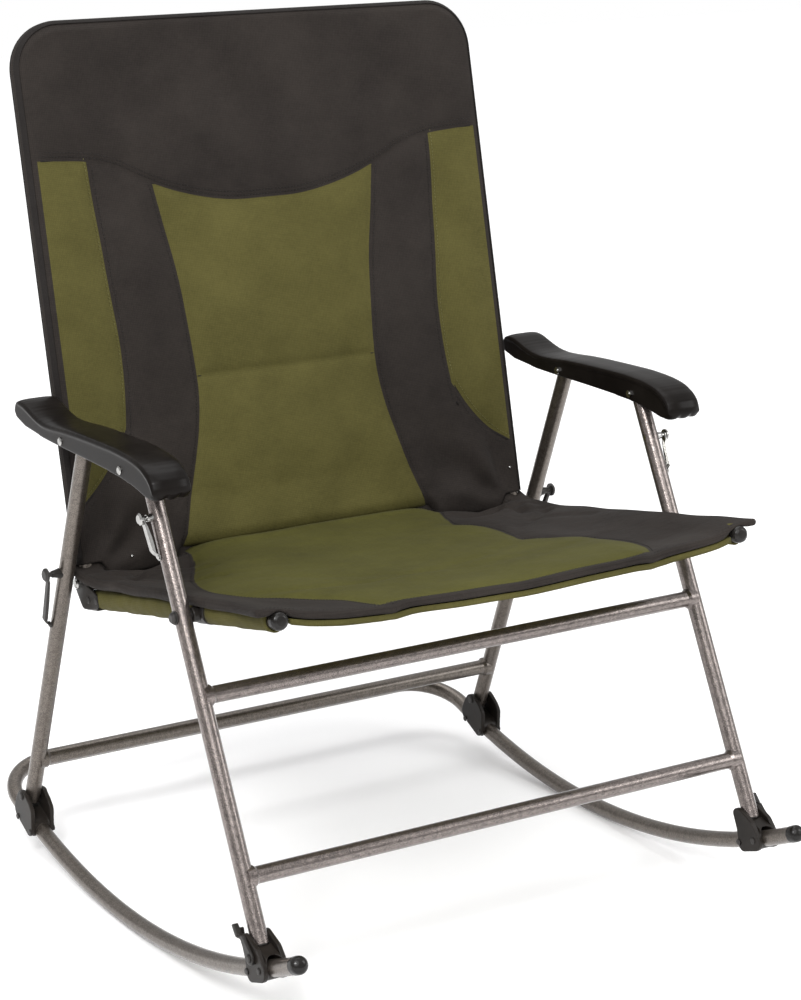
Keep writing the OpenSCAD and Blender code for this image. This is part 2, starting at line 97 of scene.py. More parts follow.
def ramp(nodes, stops):
    """Colour ramp through (position, colour) stops."""
    r = nodes.new("ShaderNodeValToRGB")
    ends = r.color_ramp.elements
    for end, (pos, col) in zip(ends, (stops[0], stops[-1])):
        end.position, end.color = pos, (*col, 1)
    for pos, col in stops[1:-1]:
        ends.new(pos).color = (*col, 1)
    return r


class Look:
    """Node material; its methods add the nodes that the looks share."""

    def __init__(self, name):
        self.mat = bpy.data.materials.new(name)
        self.mat.use_nodes = True
        self.nodes, self.join = self.mat.node_tree.nodes, self.mat.node_tree.links.new
        self.shader = self.nodes["Principled BSDF"]
        self.own = self.nodes.new("ShaderNodeTexCoord").outputs["Object"]

    def put(self, v, socket):
        """Constant or link into one socket."""
        if isinstance(v, bpy.types.NodeSocket):
            self.join(v, socket)
        else:
            socket.default_value = v

    def feed(self, node, **sockets):
        """Constants and links into a node's sockets, with _ for each space in a socket's name."""
        for key, v in sockets.items():
            self.put(v, node.inputs[key.replace("_", " ")])
        return node

    def noise(self, scale, detail=3, rough=0.5):
        n = self.nodes.new("ShaderNodeTexNoise")
        return self.feed(n, Vector=self.own, Scale=scale, Detail=detail, Roughness=rough).outputs["Fac"]

    def maths(self, op, a, b):
        m = self.nodes.new("ShaderNodeMath")
        m.operation = op
        self.put(a, m.inputs[0])
        self.put(b, m.inputs[1])
        return m.outputs[0]

    def scaled(self, v, gain, offset):
        return self.maths("ADD", self.maths("MULTIPLY", v, gain), offset)

    def tint(self, v, *stops):
        col = ramp(self.nodes, stops)
        self.join(v, col.inputs["Fac"])
        self.join(col.outputs["Color"], self.shader.inputs["Base Color"])

    def bump(self, height, strength, distance, **normal):
        b = self.nodes.new("ShaderNodeBump")
        return self.feed(b, Height=height, Strength=strength, Distance=distance, **normal).outputs["Normal"]


def paint(name, dark, light, rough, grain):
    """Hammered metallic enamel: small cells of light and dark with a pebbled surface under a clear gloss."""
    m = Look(name)
    cells = m.feed(m.nodes.new("ShaderNodeTexVoronoi"), Vector=m.own, Scale=grain).outputs["Distance"]
    mix = m.maths("ADD", cells, m.noise(150, 4, 0.6))
    m.tint(m.maths("MULTIPLY", mix, 0.6), (0.3, dark), (0.78, light))
    m.feed(m.shader, Metallic=0.8, Roughness=m.scaled(m.noise(30), 0.12, rough - 0.06), Coat_Weight=0.45,
           Coat_Roughness=0.16, Normal=m.bump(cells, 0.26, 0.0004))
    return m.mat


def plastic(name, dark, light, rough, shine=0.26):
    """Moulded plastic: slow changes of tone and gloss over a fine grain."""
    m = Look(name)
    big = m.noise(18, 4)
    m.tint(big, (0.3, dark), (0.7, light))
    m.feed(m.shader, Roughness=m.scaled(big, 0.16, rough - 0.08), Specular_IOR_Level=shine,
           Normal=m.bump(m.noise(1400, 2), 0.12, 0.0003))
    return m.mat


def metal(name, tone, rough, metallic=1.0):
    m = Look(name)
    grain = m.noise(220, 4)
    m.tint(grain, (0.3, tuple(c * 0.82 for c in tone)), (0.7, tone))
    m.feed(m.shader, Metallic=metallic, Roughness=m.scaled(grain, 0.18, rough - 0.06),
           Normal=m.bump(grain, 0.1, 0.0002))
    return m.mat


def cloth(name, dark, light, thread=1.1, lift=0.35):
    """Plain-weave canvas: warp and weft ridges on the piece's own weave map, with a soft melange."""
    m = Look(name)
    uv = m.nodes.new("ShaderNodeUVMap")
    uv.uv_map = "weave"
    waves = []
    for axis in "XY":
        w = m.nodes.new("ShaderNodeTexWave")
        w.wave_type, w.bands_direction, w.wave_profile = "BANDS", axis, "SIN"
        m.feed(w, Vector=uv.outputs["UV"], Scale=314.0 / thread / 2, Distortion=0.6, Detail=1.0, Detail_Scale=2.0)
        waves.append(w.outputs["Fac"])
    weave = m.maths("MULTIPLY", *waves)
    slub = m.noise(260, 3, 0.6)
    tone = m.maths("ADD", m.maths("MULTIPLY", m.noise(9, 5, 0.62), 0.55), m.maths("MULTIPLY", slub, 0.25))
    m.tint(m.maths("ADD", tone, m.maths("MULTIPLY", weave, 0.2)), (0.3, dark), (0.68, light))
    creases = m.bump(m.noise(26, 4, 0.55), 0.4, 0.006, Normal=m.bump(weave, lift, 0.0004))
    m.feed(m.shader, Sheen_Weight=0.02, Sheen_Roughness=0.45, Specular_IOR_Level=0.14,
           Roughness=m.scaled(slub, 0.12, 0.72), Normal=creases)
    return m.mat


BRONZE = paint("hammered_bronze", (0.036, 0.0295, 0.027), (0.255, 0.218, 0.203), 0.25, 860)
TAUPE = paint("hammered_taupe", (0.062, 0.051, 0.043), (0.165, 0.142, 0.122), 0.34, 700)
BLACK = plastic("moulded_black", (0.008, 0.0068, 0.006), (0.02, 0.0175, 0.0155), 0.34)
BLACK_CAP = plastic("cap_black", (0.006, 0.0055, 0.005), (0.014, 0.0125, 0.0115), 0.2)
BLACK_GLOSS = plastic("armrest_black", (0.0048, 0.0038, 0.0033), (0.0105, 0.0086, 0.0076), 0.32, 0.09)
BLACK_WORN = plastic("clamp_black", (0.009, 0.0073, 0.006), (0.023, 0.0192, 0.0165), 0.34, 0.16)
DARK_STEEL = metal("blackened_steel", (0.045, 0.042, 0.04), 0.42, 0.6)
BRIGHT = metal("zinc_plate", (0.46, 0.455, 0.44), 0.2)
GREEN = cloth("olive_canvas", (0.051, 0.0455, 0.0115), (0.094, 0.084, 0.0245))
# The seat's olive is the back's canvas darkened: painted shade on the same cloth, because the seat faces up and catches
# more light.
GREEN_SEAT_PAINTED_SHADE = cloth("olive_canvas_seat_painted_shade", (0.042, 0.039, 0.0072), (0.078, 0.074, 0.0155))
CHARCOAL = cloth("charcoal_canvas", (0.0125, 0.0098, 0.0085), (0.0305, 0.025, 0.0215), 1.1, 0.3)
BINDING = cloth("binding_tape", (0.009, 0.0075, 0.007), (0.022, 0.019, 0.0175), 0.9, 0.5)
THREAD_DARK = plastic("thread_black", (0.006, 0.005, 0.005), (0.014, 0.012, 0.011), 0.6)
THREAD_OLIVE = plastic("thread_olive", (0.09, 0.082, 0.028), (0.14, 0.13, 0.05), 0.6)

NODE_MATERIALS = [
    (TAUPE, ("runner", "rocker", "rear_leg", "rear_crossbar", "seat_rail", "back_tube")),
    (BRONZE, ("front_leg", "front_crossbar")),
    (BRIGHT, ("armrest_bolts", "armrest_nuts", "front_latch", "back_hinge")),
    (DARK_STEEL, ("seat_pivot", "bracket_rivets", "rear_latch", "back_bracket", "clamp_screws", "rear_pivot",
                  "catch_screws")),
    (BLACK_CAP, ("end_cap", "rail_cap")),
]
for name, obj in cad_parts.items():
    pick = [m for m, starts in NODE_MATERIALS if name.startswith(starts)]
    mat = BLACK if name.endswith("plugs") or not pick else pick[0]
    obj.data.materials.clear()
    obj.data.materials.append(mat)
    for poly in obj.data.polygons:
        poly.material_index = 0

# ---------------------------------------------------------------- mesh helpers


def linked(name, data):
    """New object of the data in the scene."""
    o = bpy.data.objects.new(name, data)
    bpy.context.scene.collection.objects.link(o)
    return o


def mesh_object(name, verts, faces, mats, face_mat=None, uv=None, sharp=False):
    """verts in millimetres; uv is one pair of millimetres per vertex for the weave."""
    me = bpy.data.meshes.new(name)
    me.from_pydata([tuple(v) for v in np.asarray(verts, float) * MM], [], [tuple(int(i) for i in f) for f in faces])
    for m in mats:
        me.materials.append(m)
    if face_mat is not None:
        me.polygons.foreach_set("material_index", np.asarray(face_mat, np.int32))
    layer = me.uv_layers.new(name="weave")
    if uv is not None:
        idx = np.zeros(len(me.loops), np.int32)
        me.loops.foreach_get("vertex_index", idx)
        layer.data.foreach_set("uv", (np.asarray(uv, float) * MM)[idx].astype(np.float32).ravel())
    me.polygons.foreach_set("use_smooth", [not sharp] * len(me.polygons))
    me.update()
    return linked(name, me)


def apply(o, kind, **settings):
    mod = o.modifiers.new(kind.lower(), kind)
    for k, v in settings.items():
        setattr(mod, k, v)
    bpy.context.view_layer.objects.active = o
    with bpy.context.temp_override(object=o, active_object=o, selected_objects=[o]):
        bpy.ops.object.modifier_apply(modifier=mod.name)
    return o


def bored(o, centre, radius, depth, sides):
    """Hole along X through a piece; centre, radius and depth in metres."""
    bm = bmesh.new()
    bmesh.ops.create_cone(bm, cap_ends=True, segments=sides, radius1=radius, radius2=radius, depth=depth)
    me = bpy.data.meshes.new("cut")
    bm.to_mesh(me)
    bm.free()
    tool = linked("cut", me)
    tool.matrix_world = Matrix.Translation(centre) @ Matrix.Rotation(math.pi / 2, 4, "Y")
    bpy.context.view_layer.update()
    apply(o, "BOOLEAN", object=tool, operation="DIFFERENCE", solver="EXACT")
    bpy.data.objects.remove(tool)


def grid_faces(rows, cols, start=0, flip=False):
    corners = [start + r * cols + c for r in range(rows - 1) for c in range(cols - 1)]
    return [(a, a + 1, a + cols + 1, a + cols)[:: -1 if flip else 1] for a in corners]


def border(rows, cols):
    """Row and column of each point round the edge of a grid, in order."""
    return ([(0, c) for c in range(cols)] + [(r, cols - 1) for r in range(1, rows)]
            + [(rows - 1, c) for c in range(cols - 2, -1, -1)] + [(r, 0) for r in range(rows - 2, 0, -1)])


def edge_rings(loop, cols, n, turns):
    """Point numbers round the edge of two grids of n points, ring by ring from one grid to the other."""
    flat = np.array([r * cols + c for r, c in loop])
    return [flat] + [2 * n + k * len(flat) + np.arange(len(flat)) for k in range(turns - 1)] + [flat + n]


def ring_faces(rings, closed):
    """Faces between rings of point numbers."""
    m = len(rings[0])
    return [(a[i], a[(i + 1) % m], b[(i + 1) % m], b[i]) for a, b in zip(rings, rings[1:])
            for i in range(m if closed else m - 1)]


def tube_faces(n, m, capped=True):
    """Faces of a tube of n rings with m points each."""
    faces = ring_faces(np.arange(n * m).reshape(n, m), True)
    return faces + [tuple(range(m))[::-1], tuple(range((n - 1) * m, n * m))] if capped else faces


def slab(name, upper, lower, mat, weave_axes):
    """Closed sheet of cloth between two grids of points."""
    rows, cols = upper.shape[:2]
    n = rows * cols
    verts = np.concatenate([upper.reshape(-1, 3), lower.reshape(-1, 3)])
    faces = grid_faces(rows, cols, 0, True) + grid_faces(rows, cols, n)
    faces += ring_faces(edge_rings(border(rows, cols), cols, n, 1), True)
    return mesh_object(name, verts, faces, [mat], uv=verts[:, weave_axes])


def curve_at(points, s, axis=1):
    """The other coordinate of a smooth curve through points, read at s along the given axis."""
    pts = np.array(sorted(points, key=lambda p: p[axis]), float)
    t, v = pts[:, axis], pts[:, 1 - axis]
    slope = np.gradient(v, t)
    s = np.clip(np.asarray(s, float), t[0], t[-1])
    i = np.clip(np.searchsorted(t, s) - 1, 0, len(t) - 2)
    h = t[i + 1] - t[i]
    w = (s - t[i]) / h
    return ((2 * w**3 - 3 * w**2 + 1) * v[i] + (w**3 - 2 * w**2 + w) * h * slope[i]
            + (-2 * w**3 + 3 * w**2) * v[i + 1] + (w**3 - w**2) * h * slope[i + 1])


# ---------------------------------------------------------------- back cover
BACK_LEN = math.dist(HINGE, BACK_TOP)
BACK_BEND = 48.0
COVER_R = 13.2
YOKE = [(0, 446), (50, 447), (100, 456), (140, 468), (175, 483), (205, 498), (240, 508), (280, 512), (314, 514)]
STRIPE_IN = [(182, 20), (170, 52), (158, 90), (147, 128), (137, 165), (131, 205), (131, 250), (135, 310),
             (143, 380), (152, 430), (163, 490)]
STRIPE_OUT = [(243, 150), (237, 190), (233, 230), (232, 280), (235, 330), (240, 390), (244, 450), (247, 515)]
WING_LOW = [(240, 182), (252, 158), (268, 134), (288, 112), (314, 92)]
LUMBAR = 232.0
BACK_FOOT = 22.0
FAR = 1e3


def stripe_in(s):
    return curve_at(STRIPE_IN, s)


def stripe_out(s):
    return curve_at(STRIPE_OUT, s)


def yoke_at(x):
    return curve_at(YOKE, np.abs(x), axis=0)


def wing_low(x):
    return np.where(np.abs(x) < 240, 182, curve_at(WING_LOW, np.abs(x), axis=0))


def foot(x):
    """Lower edge of the back: its side panels hang lower, into the folds beside the seat's middle."""
    ax = np.abs(np.asarray(x, float))
    return BACK_FOOT - 20 * ease(grow(ax, 184, 14)) * (1 - ease(grow(ax, 286, 12)))


def crown(x):
    """Top of the back's centre line at x: straight, with round corners."""
    over = np.clip(np.abs(x) - (RAIL_X - BACK_BEND), 0, BACK_BEND)
    return BACK_LEN - BACK_BEND + np.sqrt(BACK_BEND**2 - over**2)


def seam_distance(x, s):
    """Distance of each point to the nearest sewn seam of the back."""
    ax = np.abs(x)
    below = s < yoke_at(x) + 4
    return np.min([
        np.abs(s - LUMBAR) + np.where(ax > stripe_in(s), FAR, 0),
        np.where(below, np.abs(ax - stripe_in(s)) * 0.97, FAR),
        np.where(below & (s > 150), np.abs(ax - stripe_out(s)), FAR),
        np.where(ax > 236, np.abs(s - wing_low(x)) * 0.75, FAR),
        np.abs(s - yoke_at(x)) * 0.95,
    ], axis=0)


def fan(across, along, turns, reach, spread):
    """Folds that radiate from a corner, strongest at one distance from it."""
    r = np.hypot(across, along)
    phi = np.arctan2(along, np.maximum(across, 1))
    return np.sin(turns * phi + 0.6 * np.sin(r / 21)) * bell(r, reach, spread)


def back_front(x, s):
    """Height of the back's front face over the tube's centre plane, towards the sitter."""
    ax = np.abs(x)
    fall = grow(s, foot(x), 60) * grow(s, crown(x), -90) ** 0.8
    sag = 15.0 * (1 - (x / RAIL_X) ** 2) * (0.35 + 0.65 * fall)
    d = seam_distance(x, s)
    puff = 4.2 * (1 - np.exp(-((d / 26.0) ** 1.2)))
    lumbar = 4.0 * bell(s, 125, 85) * np.exp(-((x / 120) ** 4))
    groove = 2.6 * bell(d, 0, 3.2)
    low = bell(s, 60, 70)
    # slow waves, then upright folds low in the middle, slanting ones on the sides, two long creases, the hinge folds
    ripple = (0.8 + 0.7 * low) * np.sin(x / 23 + s / 61) * np.sin(s / 37 - x / 90) + 0.55 * np.sin(s / 19 + x / 31)
    ripple += 1.3 * low * np.sin(x / 14.5 + 0.8 * np.sin(s / 24)) * (ax < 150)
    ripple += 2.1 * np.sin((ax - 0.6 * s) / 15 + 0.7 * np.sin(s / 13)) * bell(s, 60, 55) * (ax > 175)
    ripple -= 1.6 * bell(x + 0.25 * (s - 560), 18, 13) * grow(s, 540, 60)
    ripple -= 1.4 * bell(x + 0.55 * (s - 60), -20, 10) * bell(s, 70, 42)
    ripple += 5.5 * fan(316 - ax, s - 8, 9.0, 80, 48) * grow(s, 14, 20)
    pull = 0.66 * np.exp(-np.abs(s - LUMBAR) / 26) * np.cos(x / 9.5 + 0.6 * np.sin(x / 31)) * (ax < stripe_in(s) - 4)
    roll = 8.0 * bell(s, foot(x), 8) * grow(ax, 300, -40)
    return COVER_R - sag - roll + (puff + lumbar - groove + ripple + pull) * grow(ax, RAIL_X, -30)


def back_rear(x, s):
    across = 1 - (x / RAIL_X) ** 2
    ripple = 0.9 * np.sin(x / 41 + s / 83) * np.sin(s / 57 - x / 70)
    return -COVER_R - 4.0 * across + ripple * across


def back_cover():
    """Front and rear faces on a grid that follows the seams, closed round the tube and along the bottom."""
    spans = [("wing", -1), ("stripe", -1), ("centre", 0), ("stripe", 1), ("wing", 1)]
    cells = {"wing": 16, "stripe": 18, "centre": 44}
    rows_seg = [26, 8, 34, 28]
    columns = [(kind, sign, c / cells[kind]) for kind, sign in spans
               for c in range(cells[kind] + ((kind, sign) == spans[-1]))]
    n_row, n_col = sum(rows_seg) + 1, len(columns)
    X, S = np.zeros((n_row, n_col)), np.zeros((n_row, n_col))
    for j, (kind, sign, u) in enumerate(columns):

        def x_at(s):
            if kind == "centre":
                return (2 * u - 1) * stripe_in(s)
            a, b, w = stripe_in(s), stripe_out(s), u if sign > 0 else 1 - u
            if kind == "stripe":
                return sign * (a + (b - a) * w)
            return sign * (b + (RAIL_X - b) * (1 - (1 - w) ** 2))

        # where this column meets the yoke's seam and the wing's lower seam, found by repeated reading
        top, low = 480.0, 150.0
        for _ in range(30):
            top, low = float(yoke_at(x_at(top))), float(wing_low(x_at(low)))
        knots = [float(foot(x_at(BACK_FOOT))), low, LUMBAR, top, float(crown(x_at(top)))]
        r = 0
        for k, n in enumerate(rows_seg):
            for i in range(n + (k == 3)):
                v = 1 - (1 - i / n) ** 1.25 if k == 3 else i / n
                S[r, j] = knots[k] + (knots[k + 1] - knots[k]) * v
                X[r, j] = float(x_at(min(S[r, j], top)))
                r += 1
    verts = [BACK.at(X, S, back_front(X, S)), BACK.at(X, S, back_rear(X, S))]
    n = n_row * n_col
    faces, fm = [], []
    k0, k1 = rows_seg[0], sum(rows_seg[:3])
    for r in range(n_row - 1):
        for c in range(n_col - 1):
            a, kind = r * n_col + c, columns[c][0]
            faces.append((a, a + 1, a + n_col + 1, a + n_col))
            faces.append((n + a + n_col, n + a + n_col + 1, n + a + 1, n + a))
            green = r < k1 and (kind == "centre" or (kind == "wing" and r >= k0))
            fm += [0 if green else 1, 1]
    # the rim wraps round the tube: up one side, across the top and down the other
    rim = [(r, 0) for r in range(n_row)] + [(n_row - 1, c) for c in range(1, n_col - 1)] + [
        (r, n_col - 1) for r in range(n_row - 1, -1, -1)]
    rx, rs = X[tuple(zip(*rim))], S[tuple(zip(*rim))]
    tx, ts = np.gradient(rx), np.gradient(rs)
    ln = np.hypot(tx, ts)
    turns = 9
    for k in range(1, turns):
        a = math.pi * k / turns
        bulge = COVER_R * (1 + 0.06 * math.sin(a)) * math.sin(a)
        verts.append(BACK.at(rx - ts / ln * bulge, rs + tx / ln * bulge, COVER_R * math.cos(a)))
    rings = edge_rings(rim, n_col, n, turns)
    faces += ring_faces(rings, False)
    faces += [(c + 1, c, n + c, n + c + 1) for c in range(n_col - 1)]
    faces += [tuple(ring[0] for ring in rings), tuple(ring[-1] for ring in rings[::-1])]
    fm += [1] * (len(faces) - len(fm))
    verts = np.concatenate([v.reshape(-1, 3) for v in verts])
    o = mesh_object("back_cover", verts, faces, [GREEN, CHARCOAL], fm, verts[:, [0, 2]] * [1, 1.03])
    return apply(o, "SUBSURF", levels=1, render_levels=1)


back = back_cover()
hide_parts("back_pad")
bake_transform(back)

# ---------------------------------------------------------------- seat cover
# Along the rails t runs forward from the rail's rear end; q is the height over the rails' plane.
HEM_T, REAR_T = 472.0, 13
SLEEVE_IN, SLEEVE_OUT, SLEEVE_CLEAR = 10.6, 12.7, 14.2
SEAT_EDGE = [(13, 329), (60, 328), (140, 326), (250, 327), (340, 328.5), (410, 330), (440, 334), (472, 338)]
PANEL_LEFT = [(181, -25), (182, 2), (163, 62), (153, 100), (171, 128), (174, 160), (164, 205), (160, 240), (190, 272),
              (216, 298), (226, 339), (221, 400), (202, 440), (182, 472)]
PANEL_RIGHT = [(173, -25), (181, 12), (206, 69), (238, 127), (262, 198), (260, 261), (231, 314), (202, 367),
               (186, 422), (172, 472)]
CENTRE_LINE = [(-14, 41), (30, 35), (100, 23.5), (200, 11.5), (300, 2), (400, -6), (472, -10.5)]
SIDE_LINE = [(13, 29.5), (60, 25), (100, 24), (200, 22), (300, 20), (400, 17), (472, 14.5)]
CROSS = [(0, 0), (76, 0.075), (165, 0.19), (240, 0.377), (280, 0.56), (300, 0.77), (320, 0.925), (338, 1)]
REAR_MID = [(13, 22.5), (7, 20.5), (1, 19.5), (-4, 19.5), (-9, 20)]
REAR_INNER = [(13, 29.5), (4, 34), (-1, 41), (-4, 50), (-6, 58)]
REAR_RIM = [(13, 29.5), (-4, 36), (-17, 43), (-28, 50), (-36, 57)]
# a long fold across the panel as (x, t), and short ones beside it as from (x, t), to (x, t) and depth
FOLD = [(205, 162), (150, 250), (70, 300), (-20, 325), (-110, 335), (-190, 318), (-235, 285)]
SIDE_FOLDS = [(212, 156, 296, 96, 4.4), (262, 22, 300, 92, 6.0), (206, 44, 300, 30, 4.6), (240, 8, 312, 74, 3.6),
              (280, 120, 318, 40, 3.6), (196, 96, 262, 66, 3.6), (300, 196, 262, 128, 2.6)]


def panel_x(t, x=1.0):
    """Half width of the seat's green panel at t; its right side is pulled further out than its left."""
    t, x = np.broadcast_arrays(np.asarray(t, float), np.asarray(x, float))
    return np.where(x < 0, curve_at(PANEL_RIGHT, t), curve_at(PANEL_LEFT, t))


def line_at(points, t):
    return curve_at([(q, s) for s, q in points], t)


def path_distance(path, x, t):
    """Distance from each point to a chain of straight pieces."""
    best = np.full(np.broadcast(x, t).shape, 1e6)
    for (ax, at), (bx, bt) in zip(path[:-1], path[1:]):
        dx, dt = bx - ax, bt - at
        k = np.clip(((x - ax) * dx + (t - at) * dt) / (dx * dx + dt * dt), 0, 1)
        best = np.minimum(best, np.hypot(x - ax - k * dx, t - at - k * dt))
    return best


def seat_seam(x, t):
    """Distance of each point to the seam round the seat's green panel."""
    flank = np.abs(np.abs(x) - panel_x(t, x)) * np.where(t > 158, 0.8, 0.95)
    hem = np.where((x < 184) & (x > -176), np.abs(t - HEM_T + 19), FAR)
    return np.minimum(flank, hem)


def seat_top(x, t):
    """Height of the seat's upper face over the rails' plane."""
    ax = np.abs(x)
    w = np.interp(ax, *zip(*CROSS))
    q = line_at(CENTRE_LINE, t) * (1 - w) + line_at(SIDE_LINE, np.maximum(t, REAR_T)) * w
    q -= 4 * bell(ax, 245, 45) * grow(t, 20, 80) * grow(t, 460, -60)
    q -= 13 * bell(ax, 236, 38) * bell(t, 28, 36)
    d = seat_seam(x, t)
    inside = ax < panel_x(t, x)
    q += np.where(inside, 4.6, 1.6) * (1 - np.exp(-((d / np.where(inside, 16.0, 20.0)) ** 1.1)))
    q -= 1.7 * bell(d, 0, 3.0)
    q -= 2.2 * bell(path_distance(FOLD, x, t), 0, 9) * grow(t, 150, 40)
    q -= 1.0 * bell(path_distance([(-a, b + 18) for a, b in FOLD], x, t), 0, 12) * grow(t, 190, 40)
    for x0, t0, x1, t1, deep in SIDE_FOLDS:
        for sign in (-1, 1):
            q -= deep * bell(path_distance([(sign * x0, t0), (sign * x1, t1)], x, t), 0, 6.5)
    q += 2.0 * bell(path_distance([(-150, 6), (150, 6)], x, t), 0, 12)
    q += 6.5 * fan(322 - ax, t + 6, 11.0, 85, 52) * grow(ax, 302, -24) * grow(t, 4, 20)
    return q + 0.8 * np.sin(x / 27 + t / 49) * np.sin(t / 33 - x / 75) + 0.45 * np.sin(t / 15 + x / 29)


def seat_cushion():
    """Upper and under face on one grid; the rear corners climb beside the back's feet."""
    cols = [("side", -1, i / 16) for i in range(16)] + [("panel", 0, i / 64) for i in range(64)] + [
        ("side", 1, i / 16) for i in range(17)]
    seg = [(HEM_T, 453, 4), (453, 158, 58), (158, 24, 30), (24, -13, 12)]
    ts = [a + (b - a) * i / n for a, b, n in seg for i in range(n)] + [seg[-1][1]]
    tail = [0.25, 0.5, 0.75, 1.0]
    live, n_row, n_col = len(ts), len(ts) + len(tail), len(cols)
    X, T, Q = (np.zeros((n_row, n_col)) for _ in range(3))
    for r, t in enumerate(ts):
        left, right, edge = (float(v) for v in (panel_x(t), panel_x(t, -1.0), line_at(SEAT_EDGE, max(t, REAR_T))))
        for c, (kind, sign, u) in enumerate(cols):
            if kind == "panel":
                X[r, c] = u * (left + right) - right
            else:
                w, px = (u, left) if sign > 0 else (1 - u, right)
                X[r, c] = sign * (px + (edge - px) * (1 - (1 - w) ** 1.5))
    T[:live] = np.array(ts)[:, None]
    Q[:live] = seat_top(X[:live], T[:live])
    X[live:] = X[live - 1]
    # the rear ends climb behind and beside the back's feet; the middle tucks under the back's lower edge
    start = min(i for i, t in enumerate(ts) if t <= REAR_T)
    ax = np.abs(X[live - 1])
    side_w, wrap_w, rim_w = ease(grow(ax, 184, 20)), grow(ax, 284, 20), grow(ax, 304, 20)
    for r in range(start, n_row):
        k = (r - start) / (n_row - 1 - start)
        mid, inner, rim = ([np.interp(k * (len(pts) - 1), range(len(pts)), v) for v in zip(*pts)]
                           for pts in (REAR_MID, REAR_INNER, REAR_RIM))
        st, sq = (mid[i] * (1 - wrap_w) + (inner[i] * (1 - rim_w) + rim[i] * rim_w) * wrap_w for i in (0, 1))
        if r < live:
            ct, cq = T[r], Q[r]
        else:
            ct, cq = -13 - 9 * tail[r - live], Q[live - 1] + 1.5 * tail[r - live]
        drop = (Q[start] - 22.5 * (1 - wrap_w) - 29.5 * wrap_w) * (1 - k) ** 2
        T[r] = ct * (1 - side_w) + st * side_w
        Q[r] = cq * (1 - side_w) + (sq + drop) * side_w
    # the under face clears the rails' sleeves and comes down outside them
    over = SLEEVE_CLEAR**2 - (np.abs(X) - RAIL_X) ** 2
    clear = np.where((T > 20) & (over > 0), np.sqrt(np.maximum(over, 0)) + 0.2, -99)
    low = np.minimum(np.maximum(Q - 9.5 + 3.5 * grow(np.abs(X), 318, 14), clear), Q - 3)
    low = np.where(np.abs(X) > 320, np.minimum(low, np.maximum(Q - 12, 7)), low)
    n = n_row * n_col
    faces, fm = [], []
    for r in range(n_row - 1):
        for c in range(n_col - 1):
            a = r * n_col + c
            faces.append((a, a + n_col, a + n_col + 1, a + 1))
            faces.append((n + a + 1, n + a + n_col + 1, n + a + n_col, n + a))
            fm += [0 if cols[c][0] == "panel" and r >= seg[0][2] else 1, 1]
    verts = [SEAT.at(X, T, Q), SEAT.at(X, T, low)]
    loop = border(n_row, n_col)
    lx, lt, hi, lo = (v[tuple(zip(*loop))] for v in (X, T, Q, low))
    gx, gt = (np.roll(v, -1) - np.roll(v, 1) for v in (lx, lt))
    ln = np.maximum(np.hypot(gx, gt), 1e-6)
    half = (hi - lo) / 2
    turns = 6
    for k in range(1, turns):
        a = math.pi * k / turns
        out = np.minimum(half, 4.5) * math.sin(a)
        verts.append(SEAT.at(lx - gt / ln * out, lt + gx / ln * out, (hi + lo) / 2 + half * math.cos(a)))
    faces += ring_faces(edge_rings(loop, n_col, n, turns), True)
    fm += [1] * (len(faces) - len(fm))
    verts = np.concatenate([v.reshape(-1, 3) for v in verts])
    # The green panel takes the darkened olive copy: painted shade on the upward-facing seat cloth.
    o = mesh_object("seat_cover", verts, faces, [GREEN_SEAT_PAINTED_SHADE, CHARCOAL], fm, verts[:, :2])
    return apply(o, "SUBSURF", levels=1, render_levels=1)


def crease_web():
    """Cloth behind the crease that joins the back's lower edge to the seat's rear end."""
    x = np.linspace(-297, 297, 100)
    low = BACK_FOOT - foot(x)
    front = np.array([BACK.at(x, foot(x) + 18, 2), BACK.at(x, foot(x) + 5, 0), BACK.at(x, foot(x) - 5, -3),
                      SEAT.at(x, -3, 35 - 0.95 * low), SEAT.at(x, 12, 34 - 0.85 * low)])
    return slab("crease_web", front, front + [0, 1.6, -0.8], CHARCOAL, [0, 2])


web = crease_web()
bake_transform(web)
seat = seat_cushion()
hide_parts("seat_pad")
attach(seat, "seat_frame")


def seat_sling():
    """Green cloth under the cushion, between the sleeves round the rails."""
    X, T = np.meshgrid(np.linspace(-300, 300, 61), np.append(np.linspace(474, 440, 6), np.linspace(430, 20, 42)))
    hi = 0.5 * seat_top(X, T) + 0.25 * (seat_top(X + 14, T) + seat_top(X - 14, T)) - 10.6
    return slab("seat_sling", SEAT.at(X, T, hi), SEAT.at(X, T, hi - 2.0 - 4.6 * grow(T, 452, 18)), GREEN, [0, 1])


def sleeve(name, sign, t0, t1):
    """Double-walled sleeve of cloth round a rail between t0 and t1."""
    around, along = 40, max(6, int((t1 - t0) / 5))
    rings = [(t0, SLEEVE_IN)] + [(v, None) for v in np.linspace(t0, t1, along + 1)] + [(t1, SLEEVE_IN)]
    verts, uv = [], []
    for v, r in rings:
        for k in range(around):
            a = 2 * math.pi * k / around
            rr = r or SLEEVE_OUT + 0.35 * math.sin(v / 11 + 2 * a) + 0.25 * math.sin(v / 5.5 - 3 * a)
            verts.append(SEAT.at(sign * RAIL_X + rr * math.cos(a), v, rr * math.sin(a)))
            uv.append((a * 13, v))
    loops = np.arange(len(verts)).reshape(-1, around)
    faces = [(a, d, c, b) for a, b, c, d in ring_faces([*loops, loops[0]], True)]
    return mesh_object(name, np.array(verts), faces, [GREEN], uv=uv)


sling = seat_sling()
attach(sling, "seat_frame")
for side_name, sign in (("left", 1), ("right", -1)):
    for part, t0, t1 in (("rear", 20, 289), ("front", 319, 463)):
        s = sleeve(f"rail_sleeve_{part}_{side_name}", sign, t0, t1)
        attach(s, "seat_frame")


# ---------------------------------------------------------------- seams, stitching and binding


